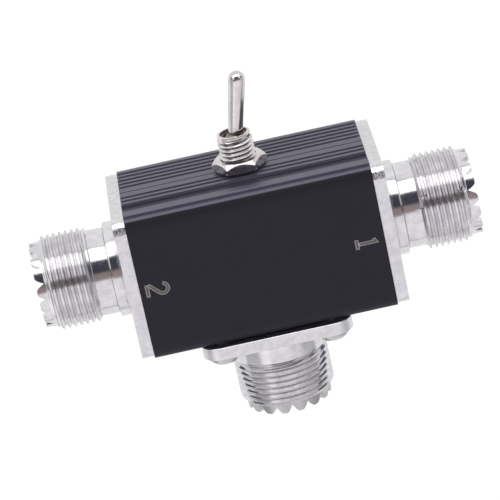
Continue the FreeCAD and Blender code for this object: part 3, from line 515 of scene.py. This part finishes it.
# Painted shade: the washer under the nut is near black in place of zinc.
WASHER_SHADE = moulded("washer_painted_shade", rgb(0.030, 0.029, 0.031), rgb(0.055, 0.053, 0.055))
CASE_GREEN = moulded("case_green", rgb(0.02, 0.07, 0.055), rgb(0.035, 0.11, 0.085))
PLUNGER_IVORY = moulded("plunger_ivory", rgb(0.66, 0.63, 0.54), rgb(0.78, 0.75, 0.66))
INSULATOR_WHITE = white_insulator()
ENGRAVED = engraved_metal()

SLOT_FINISHES = {
    "shell_anodised": SHELL_BLACK,
    "plate_metal": PLATE_SATIN,
    "screw_steel": ZINC,
    "socket_nickel": SOCKET_NICKEL,
    "toggle_nickel": TOGGLE_NICKEL,
    "insulator_white": INSULATOR_WHITE,
    "contact_silver": SILVER,
    "plunger_plastic": PLUNGER_IVORY,
    "case_plastic": CASE_GREEN,
    "wire_copper": COPPER,
}
OWN_FINISHES = {
    "toggle_washer": WASHER_SHADE,
    "toggle_nut": NUT_NICKEL,
    "toggle_lever": LEVER_NICKEL,
}


def dress_nodes():
    """Give every CAD node its own finish, or that of its material slot."""
    for part in frame["record"]["subparts"]:
        name = part["node"]
        finish = OWN_FINISHES.get(name, SLOT_FINISHES[part["material_slot"]])
        NODES[name].data.materials.clear()
        NODES[name].data.materials.append(finish)


# ------------------------------------------------------------ turned pieces

def finish_piece(mesh, body, slot, finish, *replaced):
    """Put a new mesh into the scene, ride it on its body and hide what it replaces."""
    mesh.materials.append(finish)
    piece = bpy.data.objects.new(mesh.name, mesh)
    bpy.context.scene.collection.objects.link(piece)
    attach(piece, body)
    if replaced:
        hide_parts(*replaced)
    return piece


def smooth(mesh, sharp_angle):
    """Shade a mesh smooth, but for edges that are sharper than this angle."""
    mesh.polygons.foreach_set("use_smooth", [True] * len(mesh.polygons))
    mesh.set_sharp_from_angle(angle=math.radians(sharp_angle))
    mesh.update()


def placed_mesh(body, name, place=Matrix()):
    """Turn geometry in millimetres into a mesh in metres, at its place."""
    body.transform(place @ Matrix.Scale(MM, 4))
    mesh = bpy.data.meshes.new(name)
    body.to_mesh(mesh)
    body.free()
    return mesh


def along(axis, seat):
    """A turned piece's own Z axis laid along an axis, its seat at this point (mm)."""
    turn = Vector((0, 0, 1)).rotation_difference(Vector(axis)).to_matrix().to_4x4()
    return Matrix.Translation(Vector(seat) * MM) @ turn


class Thread:
    """A right-hand outside thread between two heights."""

    # Shares of the pitch from the middle of a crest: where its round top meets the
    # flank, where the flank meets the flat root, and the rows that draw one turn.
    CREST = 0.07
    ROOT = 0.47
    ROWS = (0.0, 0.023, 0.047, CREST, 0.08, ROOT, 0.53, 0.92, 0.93, 0.953, 0.977)

    def __init__(self, crest, depth, pitch, start, end, start_radius, end_radius, fade):
        self.crest = crest
        self.depth = depth
        self.pitch = pitch
        self.start = start
        self.end = end
        self.start_radius = start_radius
        self.end_radius = end_radius
        self.fade = fade

    def drop(self, share):
        """Share of the depth below the crest: round crest, straight flank, flat root."""
        from_crest = min(share, 1.0 - share)
        slope = 1.0 / (self.ROOT - self.CREST / 2)
        if from_crest < self.CREST:
            return slope * from_crest ** 2 / (2 * self.CREST)
        return min(slope * (from_crest - self.CREST / 2), 1.0)

    def radius(self, height, drop):
        """Radius of the profile, faded into plain circles at both ends."""
        full = self.crest - self.depth * drop
        first = min((height - self.start) / self.fade, 1.0)
        last = min((self.end - height) / self.fade, 1.0)
        faded = self.start_radius + (full - self.start_radius) * first
        return self.end_radius + (faded - self.end_radius) * last

    def rings(self, angles):
        """Helical rows: one full turn of the rows is one pitch further up."""
        turns = int((self.end - self.start) / self.pitch) + 3
        rows = []
        for turn in range(-1, turns):
            for share in self.ROWS:
                drop = self.drop(share)
                row = []
                for angle in angles:
                    lift = turn + share + angle / (2 * math.pi)
                    height = self.start + self.pitch * lift
                    height = min(max(height, self.start), self.end)
                    reach = self.radius(height, drop)
                    row.append((reach * math.cos(angle), reach * math.sin(angle), height))
                rows.append(row)
        return rows


class Teeth:
    """The notched rim of a coupling: round-tipped teeth with sharp valleys."""

    COUNT = 16
    DEPTH = 1.45
    # How far up the teeth each ring on a side goes; the next ring lies on the tips.
    SIDE = (0.0, 0.35, 0.7, 0.92)
    # How much of the way from one valley to the next is the flat of a tip.
    TIP = 0.2

    def __init__(self, outer, inner, tip):
        self.outer = outer
        self.inner = inner
        self.tip = tip

    def ring(self, angles, radius, share):
        """A ring that follows the teeth, a share of the way from valleys to tips."""
        points = []
        for angle in angles:
            phase = (angle * self.COUNT / (2 * math.pi)) % 1.0
            from_valley = 1.0 - abs(2.0 * phase - 1.0)
            arch = math.sin(0.5 * math.pi * min(from_valley / (1 - self.TIP), 1.0))
            height = self.tip - self.DEPTH + self.DEPTH * arch * share
            points.append((radius * math.cos(angle), radius * math.sin(angle), height))
        return points

    def rings(self, angles):
        """Rings up the rim's outside, over its tips and down its inside."""
        outside = [self.ring(angles, self.outer, share) for share in self.SIDE]
        over = [self.ring(angles, self.outer - EDGE, 1.0),
                self.ring(angles, self.inner + EDGE, 1.0)]
        inside = [self.ring(angles, self.inner, share) for share in reversed(self.SIDE)]
        return outside + over + inside


class Skin:
    """Rings of points joined into one closed skin, with a thread in it."""

    SHARP = 44.0
    SAME_POINT = 1e-5

    def __init__(self, columns):
        self.angles = [2 * math.pi * column / columns for column in range(columns)]
        self.rings = []
        self.thread_rows = (0, 0)

    def circle(self, radius, height):
        self.rings.append([(radius * math.cos(a), radius * math.sin(a), height)
                           for a in self.angles])

    def edge(self, first, corner, last):
        """Three circles that round a corner, each given as (radius, height)."""
        for share in (0.0, 0.5, 1.0):
            near = Vector(first).lerp(Vector(corner), share)
            far = Vector(corner).lerp(Vector(last), share)
            self.circle(*near.lerp(far, share))

    def thread(self, thread):
        start = len(self.rings)
        self.rings.extend(thread.rings(self.angles))
        self.thread_rows = (start, len(self.rings))

    def teeth(self, teeth):
        self.rings.extend(teeth.rings(self.angles))

    def wrapped(self, row):
        """The row that this row meets after a whole turn."""
        first, end = self.thread_rows
        if first <= row < end:
            return min(row + len(Thread.ROWS), end - 1)
        return row

    def mesh(self, name, place):
        """Join each ring to the next, and the last ring to the first."""
        skin = bmesh.new()
        grid = [[skin.verts.new(point) for point in ring] for ring in self.rings]
        last = len(self.angles) - 1
        for row in range(len(grid)):
            above = (row + 1) % len(grid)
            for column in range(last):
                skin.faces.new((grid[row][column], grid[row][column + 1],
                                grid[above][column + 1], grid[above][column]))
            corners = (grid[row][last], grid[self.wrapped(row)][0],
                       grid[self.wrapped(above)][0], grid[above][last])
            different = list(dict.fromkeys(corners))
            if len(different) > 2:
                skin.faces.new(different)
        bmesh.ops.remove_doubles(skin, verts=skin.verts, dist=self.SAME_POINT)
        bmesh.ops.recalc_face_normals(skin, faces=skin.faces)
        mesh = placed_mesh(skin, name, place)
        smooth(mesh, self.SHARP)
        return mesh


def socket_barrel(skin, shank, shank_radius):
    """Thread, toothed rim and bore, from the top of the shank round to the inside."""
    thread_end = shank + THREAD_LENGTH
    skin.thread(Thread(THREAD_CREST, THREAD_DEPTH, THREAD_PITCH, shank, thread_end,
                       shank_radius, RUN_OUT_RADIUS, THREAD_FADE))
    skin.circle(RIM_RADIUS, thread_end + EDGE)
    skin.teeth(Teeth(RIM_RADIUS, BARREL_BORE, thread_end + RIM_LENGTH))
    skin.circle(BARREL_BORE, STEP_HEIGHT)
    skin.circle(SPIGOT_BORE, STEP_HEIGHT)


def antenna_socket(name, side):
    """Turned body: spigot, collar, neck, thread and toothed rim."""
    skin = Skin(COLUMNS)
    skin.circle(SPIGOT_BORE, -SPIGOT_DEPTH)
    skin.circle(SPIGOT_RADIUS, -SPIGOT_DEPTH)
    skin.circle(SPIGOT_RADIUS, 0.0)
    skin.edge((COLLAR_RADIUS - EDGE, 0.0), (COLLAR_RADIUS, 0.0), (COLLAR_RADIUS, EDGE))
    skin.edge((COLLAR_RADIUS, COLLAR_LENGTH - COLLAR_ROUND), (COLLAR_RADIUS, COLLAR_LENGTH),
              (COLLAR_RADIUS - COLLAR_ROUND, COLLAR_LENGTH))
    skin.edge((NECK_RADIUS + EDGE, COLLAR_LENGTH), (NECK_RADIUS, COLLAR_LENGTH),
              (NECK_RADIUS, COLLAR_LENGTH + EDGE))
    socket_barrel(skin, ANTENNA_SHANK, NECK_RADIUS)
    place = along((side, 0, 0), (side * ANTENNA_SEAT, 0, AXIS_HEIGHT))
    mesh = skin.mesh(f"{name}_socket_turned", place)
    finish_piece(mesh, "housing", "socket_nickel", ANTENNA_NICKEL, f"{name}_socket_body")


def rounded_square(half, corner, steps=10):
    """Corner points of a square with rounded corners, anticlockwise from +X."""
    points = []
    reach = (half - corner) * math.sqrt(2)
    for turn in range(4):
        middle = math.radians(45 + 90 * turn)
        for step in range(steps + 1):
            angle = math.radians(90) * (turn + step / steps)
            points.append((reach * math.cos(middle) + corner * math.cos(angle),
                           reach * math.sin(middle) + corner * math.sin(angle)))
    return points


def flange_mesh(name, place):
    """Square flange with rounded corners and broken edges, still without its holes."""
    body = bmesh.new()
    layers = ((-FLANGE_THICK, FLANGE_BEVEL), (FLANGE_BEVEL - FLANGE_THICK, 0.0),
              (-FLANGE_BEVEL, 0.0), (0.0, FLANGE_BEVEL))
    rings = []
    for height, inset in layers:
        outline = rounded_square(FLANGE_HALF - inset, FLANGE_CORNER - inset)
        rings.append([body.verts.new((x, y, height)) for x, y in outline])
    for lower, upper in zip(rings, rings[1:]):
        for here in range(len(lower)):
            beside = (here + 1) % len(lower)
            body.faces.new((lower[here], lower[beside], upper[beside], upper[here]))
    body.faces.new(rings[-1])
    body.faces.new(list(reversed(rings[0])))
    bmesh.ops.remove_doubles(body, verts=body.verts, dist=Skin.SAME_POINT)
    bmesh.ops.recalc_face_normals(body, faces=body.faces)
    return placed_mesh(body, name, place)


def peg(radius, x, y, place, sides=48):
    """A plain round cutter that goes right through the flange."""
    low, high = -FLANGE_THICK - 1, 1
    body = bmesh.new()
    middle = Matrix.Translation(Vector((x, y, (low + high) / 2)))
    bmesh.ops.create_cone(body, cap_ends=True, segments=sides, radius1=radius,
                          radius2=radius, depth=high - low, matrix=middle)
    cutter = bpy.data.objects.new("cutter", placed_mesh(body, "cutter", place))
    bpy.context.scene.collection.objects.link(cutter)
    return cutter


def take_away(piece, cutter, name):
    """Add a modifier that cuts this shape out of the piece."""
    modifier = piece.modifiers.new(name, "BOOLEAN")
    modifier.operation = "DIFFERENCE"
    modifier.solver = "EXACT"
    modifier.object = cutter
    return modifier


def cut(piece, cutters):
    """Cut shapes out of a piece for good."""
    for cutter in cutters:
        take_away(piece, cutter, "cut")
    bpy.context.view_layer.update()
    depsgraph = bpy.context.evaluated_depsgraph_get()
    mesh = bpy.data.meshes.new_from_object(piece.evaluated_get(depsgraph))
    piece.modifiers.clear()
    piece.data = mesh
    for cutter in cutters:
        bpy.data.objects.remove(cutter)


def transmitter_socket():
    """The flanged socket: its turned barrel, and the square flange round it."""
    place = along((0, -1, 0), (0, -TRANSMITTER_SEAT, AXIS_HEIGHT))
    skin = Skin(COLUMNS)
    skin.circle(SPIGOT_BORE, -INSERT_DEPTH)
    skin.circle(INSERT_RADIUS, -INSERT_DEPTH)
    skin.circle(INSERT_RADIUS, -SHANK_DEPTH)
    skin.circle(SHANK_RADIUS, -SHANK_DEPTH)
    socket_barrel(skin, TRANSMITTER_SHANK, SHANK_RADIUS)
    mesh = skin.mesh("tx_socket_turned", place)
    finish_piece(mesh, "housing", "socket_nickel", TRANSMITTER_NICKEL, "tx_socket_body")

    flange = finish_piece(flange_mesh("tx_flange", place), "housing", "socket_nickel",
                          PLATE_SATIN)
    cutters = [peg(SCREW_HOLE, x * SCREW_AT, y * SCREW_AT, place)
               for x in (-1, 1) for y in (-1, 1)]
    cutters.append(peg(FLANGE_BORE, 0, 0, place, COLUMNS))
    cut(flange, cutters)
    smooth(flange.data, 30.0)


def toggle_bushing():
    """Fine-threaded bushing with a thin open mouth over the lever's ball."""
    top = BUSHING_TOP
    root = BUSHING_CREST - BUSHING_DEPTH
    plain_below, plain_above = BUSHING_PLAIN
    across, down = BUSHING_ROUND
    skin = Skin(BUSHING_COLUMNS)
    skin.circle(root - EDGE, BUSHING_BOTTOM)
    skin.circle(root, BUSHING_BOTTOM)
    skin.thread(Thread(BUSHING_CREST, BUSHING_DEPTH, BUSHING_PITCH,
                       BUSHING_BOTTOM + plain_below, top - plain_above,
                       root, BUSHING_NECK, BUSHING_FADE))
    skin.edge((BUSHING_NECK, top - down), (BUSHING_NECK, top), (BUSHING_NECK - across, top))
    skin.edge((BUSHING_MOUTH + EDGE, top), (BUSHING_MOUTH, top), (BUSHING_MOUTH, top - EDGE))

    # Inside, from the mouth down: the lip, the seat, and the throat, which widens until
    # it meets the first circle.
    lip_top, lip_bottom = LIP_DEPTHS
    skin.circle(BUSHING_MOUTH, top - lip_top)
    skin.circle(BUSHING_LIP, top - lip_top)
    skin.circle(BUSHING_LIP, top - lip_bottom)
    for depth in SEAT_DEPTHS:
        skin.circle(BUSHING_SEAT, top - depth)
    skin.circle(BUSHING_MOUTH, top - THROAT_DEPTH)
    mesh = skin.mesh("toggle_bushing_threaded", along((0, 1, 0), (0, 0, AXIS_HEIGHT)))
    finish_piece(mesh, "housing", "toggle_nickel", BUSHING_NICKEL, "toggle_bushing")


# ------------------------------------------------------------ engraved numbers

def offset_loop(points, aside):
    """A closed loop of points, each moved to the left of the way round."""
    moved = []
    befores = points[-1:] + points[:-1]
    afters = points[1:] + points[:1]
    for before, here, after in zip(befores, points, afters):
        into = (here - before).normalized()
        out = (after - here).normalized()
        out_left = Vector((-out.y, out.x))
        left = (Vector((-into.y, into.x)) + out_left).normalized()
        moved.append(here + left * aside / max(left.dot(out_left), 0.5))
    return moved


def stroke_outline(points, width):
    """The closed outline of a pen stroke along these points, anticlockwise."""
    right_side = []
    left_side = []
    for place, here in enumerate(points):
        before = points[max(place - 1, 0)]
        after = points[min(place + 1, len(points) - 1)]
        into = (here - before).normalized() if here != before else (after - here).normalized()
        out = (after - here).normalized() if after != here else into
        out_right = Vector((out.y, -out.x))
        right = (Vector((into.y, -into.x)) + out_right).normalized()
        aside = right * (width / 2) / max(right.dot(out_right), 0.5)
        right_side.append(here + aside)
        left_side.append(here - aside)
    return right_side + left_side[::-1]


def prism(outer, inner, depth, name):
    """A cutter through the labelled face: an outline, with a hole if inner is given."""
    body = bmesh.new()
    loops = (outer, inner) if inner else (outer,)
    walls = []
    for loop in loops:
        levels = [[body.verts.new((point.x, point.y, height)) for point in loop]
                  for height in (SHELL_TOP - depth, SHELL_TOP + 0.1)]
        walls.append(levels)
        low, high = levels
        for here in range(len(loop)):
            beside = (here + 1) % len(loop)
            body.faces.new((low[here], low[beside], high[beside], high[here]))
    for level in (0, 1):
        if not inner:
            body.faces.new(walls[0][level])
            continue
        outside, hole = walls[0][level], walls[1][level]
        for here in range(len(outer)):
            beside = (here + 1) % len(outer)
            body.faces.new((outside[here], outside[beside], hole[beside], hole[here]))
    bmesh.ops.recalc_face_normals(body, faces=body.faces)
    mesh = placed_mesh(body, name)
    mesh.materials.append(ENGRAVED)
    cutter = bpy.data.objects.new(name, mesh)
    bpy.context.scene.collection.objects.link(cutter)
    cutter.hide_render = True
    return cutter


def engrave_stroke(shell, points, x):
    """One pen stroke: a shallow floor with a deeper, brighter line round it.

    The number's middle is at this x on the labelled face, and its top points to +X.
    """
    placed = [Vector((x + up, -right)) for right, up in points]
    outline = stroke_outline(placed, STROKE_WIDTH)
    inner = offset_loop(outline, LINE_WIDTH)
    for hole, depth in ((None, FLOOR_DEPTH), (inner, LINE_DEPTH)):
        cutter = prism(outline, hole, depth, "engraving")
        take_away(shell, cutter, "engraving").material_mode = "TRANSFER"


def arc_points(x, y, radius, start, end, steps):
    """Points along an arc between two angles in degrees."""
    angles = [math.radians(start + (end - start) * step / steps) for step in range(steps + 1)]
    return [(x + radius * math.cos(angle), y + radius * math.sin(angle)) for angle in angles]


def engrave_numbers():
    """A plain 1 beside antenna socket 1 and a plain 2 beside antenna socket 2."""
    shell = NODES["shell"]
    shell.data.materials.append(ENGRAVED)
    flag_and_stem = ((-0.55, 1.05), (0.0, 1.35), (0.0, -1.35))
    short_foot = ((-0.85, -1.68), (0.85, -1.68))
    bow_and_slant = (*arc_points(0.0, 0.80, 0.88, 170, -35, 12), (-0.95, -1.40))
    long_foot = ((-1.05, -1.68), (1.15, -1.68))
    numbers = (((flag_and_stem, short_foot), NUMBER_AT), ((bow_and_slant, long_foot), -NUMBER_AT))
    for strokes, x in numbers:
        for stroke in strokes:
            engrave_stroke(shell, stroke, x)


dress_nodes()
engrave_numbers()
antenna_socket("ant1", 1)
antenna_socket("ant2", -1)
transmitter_socket()
toggle_bushing()


# ------------------------------------------------------------ stage, light, camera

FLOOR_HALF = 4000.0
FLOOR_GAP = 0.05
CAMERA_LENS = 243.333
CAMERA_SENSOR = 36.0
CAMERA_CLIP = (10.0, 20000.0)
CAMERA_PLACE = (-3.910, 205.820, 529.752)
CAMERA_TURN = (-21.3764, -4.8300, -11.4394)


def floor():
    """A wide pale floor just under the switch; it shows white and keeps a shadow."""
    made, paint = material("floor")
    path = paint.node("ShaderNodeLightPath")
    seen = (path.out("Is Camera Ray") + path.out("Is Glossy Ray")).clamped()
    tone = paint.noise(0.004, 2.0)
    colour = paint.blend(tone, rgb(0.78, 0.78, 0.78), rgb(0.82, 0.82, 0.82))
    lit = paint.node("ShaderNodeBsdfDiffuse", {}, {"Color": colour}).out()

    # White to the camera; in mirrors a pale grey glow that dims away from the switch, a painted
    # pool of light.
    across, along_y, _ = paint.split(paint.place())
    away = (across * across + along_y * along_y) ** 0.5
    mirrored_glow = away.between(60.0, 400.0, 0.87, 0.50)
    strength = path.out("Is Camera Ray") * (1.13 - mirrored_glow) + mirrored_glow
    light = {"Color": rgb(1, 1, 1), "Strength": strength}
    glow = paint.node("ShaderNodeEmission", {}, light).out()
    surface = paint.node("ShaderNodeMixShader", {}, [0.88 * seen, lit, glow]).out()
    paint.node("ShaderNodeOutputMaterial", {}, {"Surface": surface})

    corners = [Vector((x * FLOOR_HALF, y * FLOOR_HALF, -FLOOR_GAP)) * MM
               for x, y in ((-1, -1), (1, -1), (1, 1), (-1, 1))]
    mesh = bpy.data.meshes.new("floor")
    mesh.from_pydata(corners, [], [(0, 1, 2, 3)])
    mesh.materials.append(made)
    ground = bpy.data.objects.new("floor", mesh)
    bpy.context.scene.collection.objects.link(ground)


def grey(level, blue=0.0):
    """A grey, or a cool grey with a little more blue."""
    return (level, level, level + blue)


def round_ramp(paint, share, stops):
    """Colours round the X axis, at angles from -180 to 180 degrees; 0 is +Z, 90 is +Y."""
    placed = [((angle + 180) / 360, colour) for angle, colour in stops]
    return paint.node("ShaderNodeValToRGB", {"stops": placed}, [share]).out("Color")


def studio():
    """A room of soft light with a wide lamp on the toggle side and a dark band above it.

    Three rings of colour lie round the X axis: one for directions square to it, one for
    those that lean towards it, and one for those that nearly follow it.
    """
    world = bpy.data.worlds.new("studio")
    world.use_nodes = True
    bpy.context.scene.world = world
    paint = Paint(world.node_tree)
    direction = paint.node("ShaderNodeTexCoord").out("Generated")
    across, along_y, up = paint.split(direction)
    turn = paint.node("ShaderNodeMath", {"operation": "ARCTAN2"}, [along_y, up]).out()
    share = turn * (1 / (2 * math.pi)) + 0.5

    front = (0.80, 0.78, 0.81)
    dark = (0.045, 0.047, 0.064)
    brown = (0.12, 0.105, 0.105)
    below = grey(0.62)
    lamp = grey(1.6)
    lamp_frame = grey(0.25, 0.01)
    lamp_aside = grey(1.5)
    below_aside = grey(0.65)
    below_ends = grey(0.40)
    ahead = round_ramp(paint, share, [
        (-180, below), (-70, front), (-4, front), (0, (0.30, 0.24, 0.235)),
        (17, (0.24, 0.20, 0.20)), (21, dark), (52, dark), (54, lamp), (104, lamp),
        (104.6, lamp_frame), (107, lamp_frame), (108, grey(0.8)), (180, below),
    ])
    beside = round_ramp(paint, share, [
        (-180, below_aside), (-60, front), (-2, front), (2, brown), (21, brown),
        (28, grey(0.70, 0.02)), (54, grey(0.78, 0.02)), (60, lamp_aside),
        (104, lamp_aside), (115, grey(0.78, 0.01)), (180, below_aside),
    ])
    ends = round_ramp(paint, share, [
        (-180, below_ends), (-60, grey(0.46, 0.01)), (10, grey(0.52, 0.01)),
        (42, grey(0.50, 0.01)), (52, grey(0.09, 0.01)), (108, grey(0.08, 0.01)),
        (122, grey(0.38)), (180, below_ends),
    ])

    # How far a direction leans towards either end of X, from 0 to 1, picks its ring.
    sideways = across.math("ABSOLUTE")
    turned = sideways.between(0.36, 0.52)
    at_end = sideways.between(0.68, 0.86)
    colour = paint.blend(at_end, paint.blend(turned, ahead, beside), ends)
    # The middle ring is a little brighter towards -X than towards +X.
    lean = across.between(-0.3, 0.3, 0.20, -0.14)
    strength = 1 + lean * turned * (1 - at_end)
    seen = paint.node("ShaderNodeLightPath").out("Is Camera Ray")
    light = {"Color": paint.blend(seen, colour, rgb(1, 1, 1)), "Strength": strength}
    glow = paint.node("ShaderNodeBackground", {}, light).out()
    paint.node("ShaderNodeOutputWorld", {}, {"Surface": glow})


def camera():
    lens = bpy.data.cameras.new("camera")
    lens.lens = CAMERA_LENS
    lens.sensor_width = CAMERA_SENSOR
    lens.clip_start, lens.clip_end = Vector(CAMERA_CLIP) * MM
    eye = bpy.data.objects.new("camera", lens)
    eye.location = Vector(CAMERA_PLACE) * MM
    eye.rotation_euler = [math.radians(angle) for angle in CAMERA_TURN]
    bpy.context.scene.collection.objects.link(eye)
    bpy.context.scene.camera = eye


floor()
studio()
camera()
bpy.context.scene.view_settings.view_transform = "Standard"
